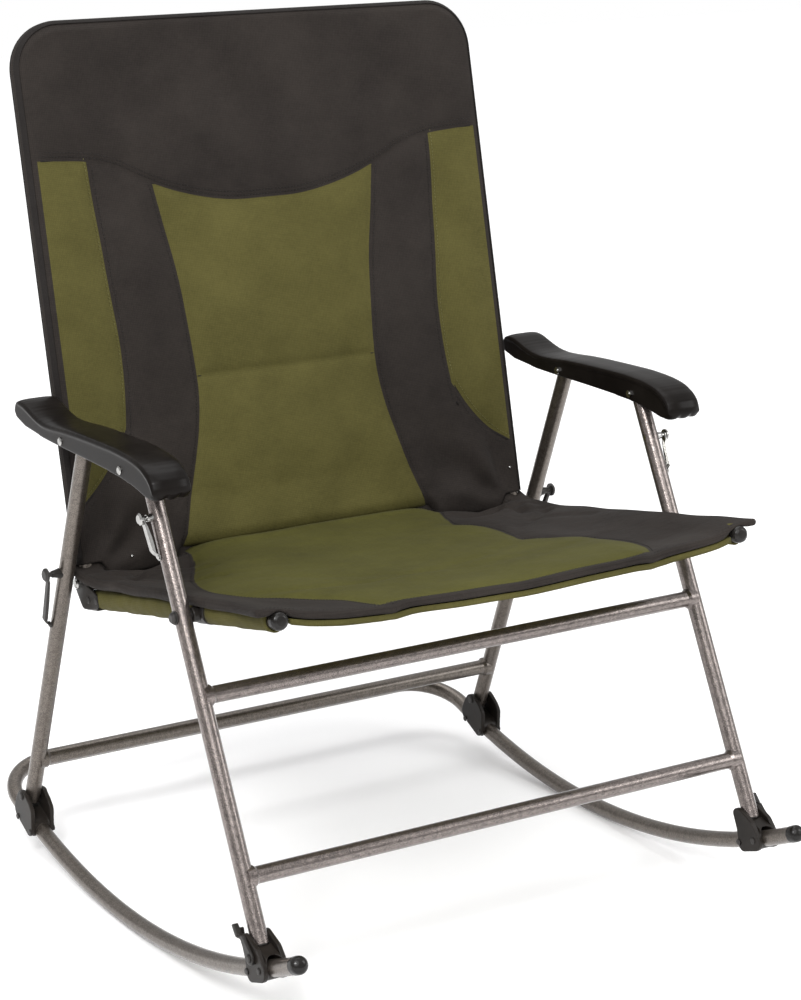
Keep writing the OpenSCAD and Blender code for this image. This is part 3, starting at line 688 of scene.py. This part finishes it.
def swept(name, path, across, off, profile, mats):
    """Profile of (across, off) pairs carried along a path; across and off are one direction each per point."""
    path, across, off = (np.asarray(v, float) for v in (path, across, off))
    across, off = np.broadcast_to(across, path.shape), np.broadcast_to(off, path.shape)
    prof = np.asarray(profile, float)
    if prof.ndim == 2:
        prof = np.repeat(prof[None], len(path), 0)
    m = prof.shape[1]
    verts = (path[:, None] + prof[:, :, :1] * across[:, None] + prof[:, :, 1:] * off[:, None]).reshape(-1, 3)
    run = np.concatenate([[0], np.cumsum(np.linalg.norm(np.diff(path, axis=0), axis=1))])
    uv = np.stack([np.repeat(run, m), np.tile(np.arange(m) * 2.0, len(path))], -1)
    return mesh_object(name, verts, tube_faces(len(path), m), mats, uv=uv)


def oval(width, thick, n=10):
    a = np.arange(n) * 2 * math.pi / n
    return np.stack([np.cos(a) * width / 2, np.sin(a) * thick / 2], -1)


def resample(path, step):
    path = np.asarray(path, float)
    run = np.concatenate([[0], np.cumsum(np.hypot(*np.diff(path, axis=0).T))])
    s = np.linspace(0, run[-1], max(3, int(run[-1] / step) + 1))
    return np.stack([np.interp(s, run, path[:, k]) for k in range(path.shape[1])], -1)


def unit_rows(v):
    """Rows of vectors at unit length."""
    return v / np.linalg.norm(v, axis=1)[:, None]


def on_surface(plane, height, path, lift=0.0):
    """Points, travel-square directions and outward normals of a cloth face along a path of (x, s)."""
    x, s = path[:, 0], path[:, 1]
    e = 2.0
    here = plane.at(x, s, height(x, s) + lift)
    gx = plane.at(x + e, s, height(x + e, s)) - plane.at(x - e, s, height(x - e, s))
    gs = plane.at(x, s + e, height(x, s + e)) - plane.at(x, s - e, height(x, s - e))
    normal = unit_rows(np.cross(gx, gs))
    facing = plane.at(x, s, height(x, s) + 1) - plane.at(x, s, height(x, s))
    normal *= np.sign((normal * facing).sum(1))[:, None]
    return here, unit_rows(np.cross(unit_rows(np.gradient(here, axis=0)), normal)), normal


def joined(name, parts):
    """One object from several meshes."""
    for o in parts[1:]:
        o.select_set(True)
    with bpy.context.temp_override(active_object=parts[0], object=parts[0], selected_objects=parts,
                                   selected_editable_objects=parts):
        bpy.ops.object.join()
    parts[0].name = name
    parts[0].data.name = name
    return parts[0]


def cords(name, plane, height, paths, width, thick, mats, lift=0.0):
    out = []
    for path in paths:
        p, ac, nm = on_surface(plane, height, resample(path, 5.0), lift)
        out.append(swept(name + "_part", p, ac, nm, oval(width, thick), mats))
    return joined(name, out)


def stitches(name, plane, height, paths, mats, pitch=4.6, length=3.2, width=0.9):
    """Rows of separate stitches: short threads that dive into the cloth at both ends."""
    out = []
    sides = 5
    prof, one = oval(1, 1, sides), tube_faces(3, sides)
    for path in paths:
        p, ac, nm = on_surface(plane, height, resample(path, pitch))
        al = np.cross(nm, ac)
        verts = np.zeros((len(p), 3, sides, 3))
        for r, (t, deep, size) in enumerate(((-0.5, -0.25, 0.45), (0, 0.28, 1.0), (0.5, -0.25, 0.45))):
            mid = p + al * t * length + nm * deep
            verts[:, r] = mid[:, None] + width * size * (
                prof[None, :, :1] * ac[:, None] + 0.7 * prof[None, :, 1:] * nm[:, None])
        faces = [[3 * sides * i + v for v in f] for i in range(len(p)) for f in one]
        out.append(mesh_object(name + "_part", verts.reshape(-1, 3), faces, mats))
    return joined(name, out)


def both_sides(paths):
    return [np.array(p, float) for p in paths] + [np.array(p, float) * [-1, 1] for p in paths]


def on_back(o):
    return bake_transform(o)


def line_in(xs):
    return np.stack([np.asarray(stripe_in(xs)), xs], -1)


low_s, high_s = np.linspace(BACK_FOOT + 3, 474, 70), np.linspace(150, 512, 60)
yoke_x = np.linspace(-RAIL_X + 4, RAIL_X - 4, 90)
yoke_line = np.stack([yoke_x, yoke_at(yoke_x)], -1)
in_line = line_in(low_s)
out_line = np.stack([stripe_out(high_s), high_s], -1)
wing_x = np.linspace(243, RAIL_X - 3, 24)
wing_line = np.stack([wing_x, wing_low(wing_x)], -1)
lumbar_x = np.linspace(-130, 130, 50)
lumbar_line = np.stack([lumbar_x, np.full(50, LUMBAR)], -1)
seams = [yoke_line, lumbar_line] + both_sides([in_line, out_line, wing_line])
on_back(cords("back_seams", BACK, back_front, seams, 2.2, 1.5, [BINDING], 0.1))
top = [yoke_line + [0, 5], yoke_line + [0, 10]] + both_sides([in_line + [5, 0], out_line - [5, 0], wing_line - [3, 6]])
on_back(stitches("back_topstitching", BACK, back_front, top, [THREAD_DARK]))
panel_top = both_sides([out_line[high_s > 188] + [4, 0], wing_line + [3, 5]])
on_back(stitches("back_panel_stitching", BACK, back_front, panel_top, [THREAD_OLIVE]))
edge_s = np.linspace(BACK_FOOT + 2, BACK_LEN - BACK_BEND, 60)
turn = np.linspace(0, math.pi / 2, 14)[1:]
rim = [(-RAIL_X, v) for v in edge_s] + [
    (-RAIL_X + BACK_BEND * (1 - math.cos(a)), BACK_LEN - BACK_BEND + BACK_BEND * math.sin(a)) for a in turn]
rim = rim + [(x, BACK_LEN) for x in np.linspace(-RAIL_X + BACK_BEND + 6, RAIL_X - BACK_BEND - 6, 60)] + [
    (-x, v) for x, v in rim[::-1]]
rim = np.array(rim)
step = np.gradient(rim, axis=0)
step /= np.hypot(*step.T)[:, None]
outward = np.stack([-step[:, 1], step[:, 0]], -1)
for piece, angle in (("back_binding", 52), ("back_binding_rear", 128)):
    a = math.radians(angle)
    r = COVER_R + 0.5
    mid = BACK.at(*(rim + outward * r * math.sin(a)).T, r * math.cos(a))
    away = BACK.at(*(rim + outward * (r + 1) * math.sin(a)).T, (r + 1) * math.cos(a)) - mid
    ahead = unit_rows(np.gradient(mid, axis=0))
    on_back(swept(piece, mid, np.cross(ahead, away), away, oval(8.5, 1.8, 12), [BINDING]))
# press studs low on the back's sides, as (x, s)
STUDS = ((309, 57), (-257, 24))
studs = []
for x, s in STUDS:
    c, ac, nm = (v[1] for v in on_surface(BACK, back_front, np.array([[x, s - 1.0], [x, s], [x, s + 1.0]])))
    heights, radii = (-0.5, 0.5, 1.3, 1.7), (1.8, 1.8, 1.4, 0.5)
    studs.append(swept("stud_part", [c + nm * h for h in heights], np.cross(nm, ac), ac,
                       [oval(2 * r, 2 * r, 16) for r in radii], [BRIGHT]))
on_back(joined("back_studs", studs))


def on_seat(o):
    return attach(o, "seat_frame")


panel_t = np.linspace(452, -8, 110)
panel_lines = [np.stack([panel_x(panel_t, -1.0), panel_t], -1) * [-1, 1], np.stack([panel_x(panel_t), panel_t], -1)]
hem_x = np.linspace(-174, 182, 60)
hem_line = np.stack([hem_x, np.full(60, HEM_T - 19)], -1)
front_x = np.linspace(-330, 330, 110)
front_line = np.stack([front_x, np.full(110, HEM_T - 4)], -1)
side_t = np.linspace(466, 14, 90)
side_line = np.stack([line_at(SEAT_EDGE, side_t) - 3.2, side_t], -1)
on_seat(cords("seat_seams", SEAT, seat_top, [hem_line] + panel_lines, 2.2, 1.4, [BINDING], 0.1))
seat_rows = [hem_line + [0, 5], front_line, panel_lines[0] - [5, 0], panel_lines[1] + [5, 0]] + both_sides([side_line])
on_seat(stitches("seat_topstitching", SEAT, seat_top, seat_rows, [THREAD_DARK]))


# ---------------------------------------------------------------- moulded and cast hardware


def softened(name, node, body, voxel, passes, mat, shape=None):
    """Copy of a CAD node with its edges rounded: fine remesh, optional shaping of the points, then smoothing."""
    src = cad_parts[node]
    me = src.data.copy()
    me.transform(src.matrix_world)
    me.name = name
    o = linked(name, me)
    apply(o, "REMESH", mode="VOXEL", voxel_size=voxel * MM, use_smooth_shade=True)
    if shape:
        co = np.zeros(len(o.data.vertices) * 3, np.float32)
        o.data.vertices.foreach_get("co", co)
        o.data.vertices.foreach_set("co", (shape(co.reshape(-1, 3) / MM) * MM).astype(np.float32).ravel())
    apply(o, "SMOOTH", factor=0.5, iterations=passes)
    o.data.materials.clear()
    o.data.materials.append(mat)
    o.data.polygons.foreach_set("material_index", [0] * len(o.data.polygons))
    o.data.polygons.foreach_set("use_smooth", [True] * len(o.data.polygons))
    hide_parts(node)
    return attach(o, body)


ARM_MID, ARM_HALF = 355.0, 24.0


def arm_shape(sign):
    """Crowned top with a rim line along its edges, a nose that is round in plan, and lobes under the nose."""

    def shape(co):
        x, y, z = co[:, 0].copy(), co[:, 1].copy(), co[:, 2].copy()
        u = (x * sign - ARM_MID) / ARM_HALF
        au = np.clip(np.abs(u), 0, 1)
        # the top's height along the armrest, evened out
        bins = np.linspace(-154, 223, 96)
        peak = np.full(96, 584.0)
        np.maximum.at(peak, np.clip(np.searchsorted(bins, y), 0, 95), z)
        kernel = np.exp(-np.linspace(-2, 2, 13) ** 2)
        even = np.convolve(np.pad(peak, 6, mode="edge"), kernel / kernel.sum(), mode="valid")
        lift = np.interp(y, bins, even - peak) * grow(y, -146, 16) * grow(y, 216, -16)
        z = z + lift * grow(z, 586, 8)
        under_top = np.interp(y, bins, peak) + lift - z
        nose, tail = grow(y, -112, -40), grow(y, 204, 18)
        x = x + sign * np.sign(u) * 1.5 * bell(under_top, 4.4, 1.6) * (au > 0.9) * (1 - tail)
        z = z - 1.8 * au**4 * grow(under_top, 12, -12)
        y = y + nose * 5.0 * au**3 - tail * 2.0 * au**3
        z = z + 4.0 * grow(y, 138, 72) * grow(z, 606, -16)
        lobe = ease(grow(z, 586, -10) * grow(y, -128, -14))
        z = z - lobe * (3.6 * np.abs(np.sin(1.5 * math.pi * (u + 1))) ** 0.6 - 1.2)
        return np.stack([x, y, z], -1)

    return shape


def slimmed(low, high, keep, top):
    """Cheeks drawn in towards a line between two side-view points, and lowered above the first one's height."""

    def shape(co):
        x, y, z = co[:, 0], co[:, 1], co[:, 2]
        mid = np.interp(z, [low[1], high[1]], [low[0], high[0]])
        between = np.abs(np.abs(x) - LEG_X) < TUBE_R
        socket = 3.5 * grow(z, 88, 8) * between
        lowered = np.where((z > low[1]) & ~between, low[1] + (z - low[1]) * top, z + socket)
        return np.stack([x, mid + (y - mid) * keep, lowered], -1)

    return shape


def shortened(co):
    """Catch lever pulled in towards its pivot."""
    pivot = np.array([-326.0, 96.0])
    out = co[:, 1:] - pivot
    r = np.hypot(*out.T)[:, None]
    return np.column_stack([co[:, 0], pivot + out * np.where(r > 9, (9 + (r - 9) * 0.72) / np.maximum(r, 1), 1)])


SHAPES = {
    "rear_clamp": slimmed((283, 74), (283, 100), 0.88, 0.62),
    "front_clamp": slimmed((-331, 90), (-311, 116), 0.86, 0.74),
    "catch_lever": shortened,
}
for side_name, sign in (("left", 1), ("right", -1)):
    softened(f"armrest_shell_{side_name}", f"armrest_{side_name}", "armrests", 1.15, 11, BLACK_GLOSS, arm_shape(sign))
    for node, body, mat in (("rear_clamp", "rocker", BLACK_WORN), ("front_clamp", "rocker", BLACK_WORN),
                            ("catch_lever", f"catch_{side_name}", BLACK)):
        softened(f"{node}_body_{side_name}", f"{node}_{side_name}", body, 0.8, 5, mat, SHAPES[node])
    for piece, node, body, voxel, mat in (
            ("runner_cap", "end_cap", "rocker", 0.8, BLACK_CAP), ("rail_end", "rail_cap", "seat_frame", 0.7, BLACK_CAP),
            ("hinge_plate", "back_bracket", "seat_frame", 0.7, BLACK)):
        softened(f"{piece}_{side_name}", f"{node}_{side_name}", body, voxel, 3, mat)
softened("pivot_spacers", "seat_spacers", "seat_frame", 0.8, 4, BLACK)


# ---------------------------------------------------------------- saddles, latch straps and bosses
LEG_BOLT = (0.332, -0.147, 0.4362)


def rail_saddle(name, sign):
    """Black plastic half collar round the rail where the leg's bolt passes, open above and on the inside."""
    angles = [math.radians(v) for v in np.linspace(62, -142, 34)]
    verts = []
    for v, outer in ((291, 12.6), (292.5, 13.6), (316.5, 13.6), (318, 12.6)):
        for r, a in [(outer, a) for a in angles] + [(10.4, a) for a in angles[::-1]]:
            verts.append(SEAT.at(sign * (RAIL_X + r * math.cos(a)), v, r * math.sin(a)))
    m = 2 * len(angles)
    faces = [f[::sign] for f in tube_faces(4, m, False)]
    for i, end in ((0, 1), (3, -1)):
        for k in range(len(angles) - 1):
            q = (i * m + k + 1, i * m + k, i * m + m - 1 - k, i * m + m - 2 - k)
            faces.append(q[:: end * sign])
    o = mesh_object(name, np.array(verts), faces, [BLACK], sharp=True)
    bored(o, (sign * LEG_BOLT[0], *LEG_BOLT[1:]), 0.0087, 0.02, 32)
    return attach(o, "seat_frame")


def leg_line(foot_at, top_at):
    """Unit direction up the leg, the square direction in the side view, and a point at a height."""
    u = unit(foot_at, top_at)
    up_leg, square = np.array([0, u[0], u[1]]), np.array([0, u[1], -u[0]])
    return up_leg, square, lambda z: np.array([0, foot_at[0] + u[0] * (z - foot_at[1]) / u[1], z])


def strap(name, sign, leg, z_pin, z_rivet, stand, mat):
    """Folded metal strap from the rivet on the leg up to a ring round the latch pin: a channel with two flanges."""
    up_leg, square, at = leg
    a, b = at(z_rivet), at(z_pin)
    run = np.linalg.norm(b - a)
    d = np.array([-5, -3, 0, 4, 8, 12, 16, 0.5 * run, run - 10, run - 5, run - 2, run + 1.5, run + 4.6])
    near = LEG_X + TUBE_R + 1.2
    x = near + (LEG_X + stand - near) * (0.7 * ease(grow(d, -1, 8)) + 0.3 * grow(d, 0, run))
    half = np.interp(d, [-5, -3, 0, run - 8, run - 3, run + 1.5, run + 4.6], [1.6, 3.2, 3.8, 3.3, 4.8, 4.8, 2.2])
    lip = np.maximum(np.interp(d, [-5, 4, 9, run - 12, run - 6], [0.0, 0.4, 3.0, 3.0, 0.0]), 0.05)
    path = a + up_leg * d[:, None] + np.array([sign, 0, 0]) * x[:, None]
    prof = [[(-h, 0.6), (h, 0.6), (h, -0.6 - f), (h - 1.0, -0.6 - f), (h - 1.0, -0.6), (-h + 1.0, -0.6),
             (-h + 1.0, -0.6 - f), (-h, -0.6 - f)] for h, f in zip(half, lip)]
    o = swept(name, path, square, np.array([sign, 0.0, 0.0]), prof, [mat])
    o.data.polygons.foreach_set("use_smooth", [False] * len(o.data.polygons))
    bored(o, Vector((b + [sign * (LEG_X + stand), 0, 0]) * MM), 0.0032, 0.008, 24)
    apply(o, "BEVEL", width=0.00025, segments=2, limit_method="ANGLE", angle_limit=math.radians(40))
    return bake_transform(o)


def turned(name, sign, centre, profile, mat, body, sides=32):
    """Piece turned about an axis along X: profile points are (distance from the middle plane, radius)."""
    angles = [2 * math.pi * k / sides for k in range(sides)]
    verts = [(sign * x, centre[0] + r * math.cos(a), centre[1] + r * math.sin(a)) for a in angles for x, r in profile]
    loops = np.arange(len(verts)).reshape(sides, -1)
    faces = [(a, d, c, b)[::sign] for a, b, c, d in ring_faces([*loops, loops[0]], True)]
    o = mesh_object(name, verts, faces, [mat])
    apply(o, "BEVEL", width=0.0003, segments=2, limit_method="ANGLE", angle_limit=math.radians(35))
    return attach(o, body)


# each latch: leg, heights of its pin and rivet, strap's distance from the leg's middle, strap's look and slot, then the
# boss's reach, its radius at the leg, its look and its slot
LATCHES = {
    "front": (leg_line(FRONT_FOOT, FRONT_ARM), 540, 500, 20.7, BRIGHT, "bright_steel",
              16.0, 5.2, BRIGHT, "bright_steel"),
    "rear": (leg_line(REAR_FOOT, REAR_ARM), 409, 337, 24.7, DARK_STEEL, "black_steel",
             20.0, 7.0, BLACK, "black_plastic"),
}
for side_name, sign in (("left", 1), ("right", -1)):
    rail_saddle(f"rail_saddle_{side_name}", sign)
    for end, (leg, z_pin, z_rivet, stand, mat, slot, *_) in LATCHES.items():
        o = strap(f"{end}_latch_strap_{side_name}", sign, leg, z_pin, z_rivet, stand, mat)
        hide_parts(f"{end}_latch_spring_{side_name}")
    for end, (leg, z_pin, *_, reach, root, mat, slot) in LATCHES.items():
        base, tip = LEG_X + math.sqrt(TUBE_R**2 - root**2) - 0.2, LEG_X + reach
        boss = turned(f"{end}_latch_boss_{side_name}", sign, leg[2](z_pin)[1:],
                      [(base, 3.15), (tip, 3.15), (tip, 4.2), (tip - 3, 4.6), (base, root)], mat, f"{end}_frame")

# ---------------------------------------------------------------- camera, light and floor
CAMERA_AT, CAMERA_AHEAD, LENS_MM = (-1.647, -2.696, 1.363), (0.50977, 0.81770, -0.26741), 96.45
cam_data = bpy.data.cameras.new("camera")
cam_data.sensor_fit, cam_data.sensor_width, cam_data.lens = "AUTO", 36.0, LENS_MM
cam = linked("camera", cam_data)
forward = Vector(CAMERA_AHEAD).normalized()
right = forward.cross(Vector((0, 0, 1))).normalized()
turn_to = Matrix((right, right.cross(forward), -forward)).transposed()
cam.matrix_world = Matrix.Translation(CAMERA_AT) @ turn_to.to_4x4()
bpy.context.scene.camera = cam

floor = bpy.data.meshes.new("floor")
floor.from_pydata([(-9, -9, 0), (9, -9, 0), (9, 9, 0), (-9, 9, 0)], [], [(0, 1, 2, 3)])
# The floor glows faintly with a violet tint though it is no lamp: painted light that lifts the chair's shadow on it.
pale = Look("pale_floor")
pale.feed(pale.shader, Base_Color=(0.96, 0.96, 0.96, 1), Roughness=0.9, Emission_Color=(0.97, 0.95, 1.0, 1),
          Emission_Strength=0.1, Specular_IOR_Level=0.1)
floor.materials.append(pale.mat)
linked("floor", floor)

# an even studio: bright below, grey low on the sky so that glossy tubes show an edge, bright overhead
world = bpy.data.worlds.new("studio")
bpy.context.scene.world = world
world.use_nodes = True
wn, wl = world.node_tree.nodes, world.node_tree.links
ray = wn.new("ShaderNodeSeparateXYZ")
wl.new(wn.new("ShaderNodeTexCoord").outputs["Generated"], ray.inputs["Vector"])
up_share = wn.new("ShaderNodeMapRange")
up_share.inputs["From Min"].default_value = -1.0
wl.new(ray.outputs["Z"], up_share.inputs["Value"])
sky = ramp(wn, [(at, (grey, grey, grey)) for at, grey in ((0, 1), (0.5, 1), (0.53, 0.52), (0.68, 0.6), (1, 1))])
wl.new(up_share.outputs["Result"], sky.inputs["Fac"])
wl.new(sky.outputs["Color"], wn["Background"].inputs["Color"])
wn["Background"].inputs["Strength"].default_value = 1.0
bpy.context.scene.view_settings.view_transform = "Standard"


def area(name, at, to, size, watts):
    d = bpy.data.lights.new(name, "AREA")
    d.energy, d.size = watts, size
    o = linked(name, d)
    o.location = at
    o.rotation_euler = (Vector(to) - Vector(at)).to_track_quat("-Z", "Y").to_euler()


sun = bpy.data.lights.new("soft_sun", "SUN")
sun.energy, sun.angle = 1.3, math.radians(50)
linked("soft_sun", sun).rotation_euler = (math.radians(34), math.radians(-26), 0)
area("key", (-2.4, -2.2, 3.0), (0, 0, 0.5), 0.9, 70)
area("fill", (2.8, -2.2, 2.0), (0, 0, 0.5), 1.6, 34)
area("top", (0.2, 0.6, 3.4), (0, 0, 0.3), 2.2, 30)
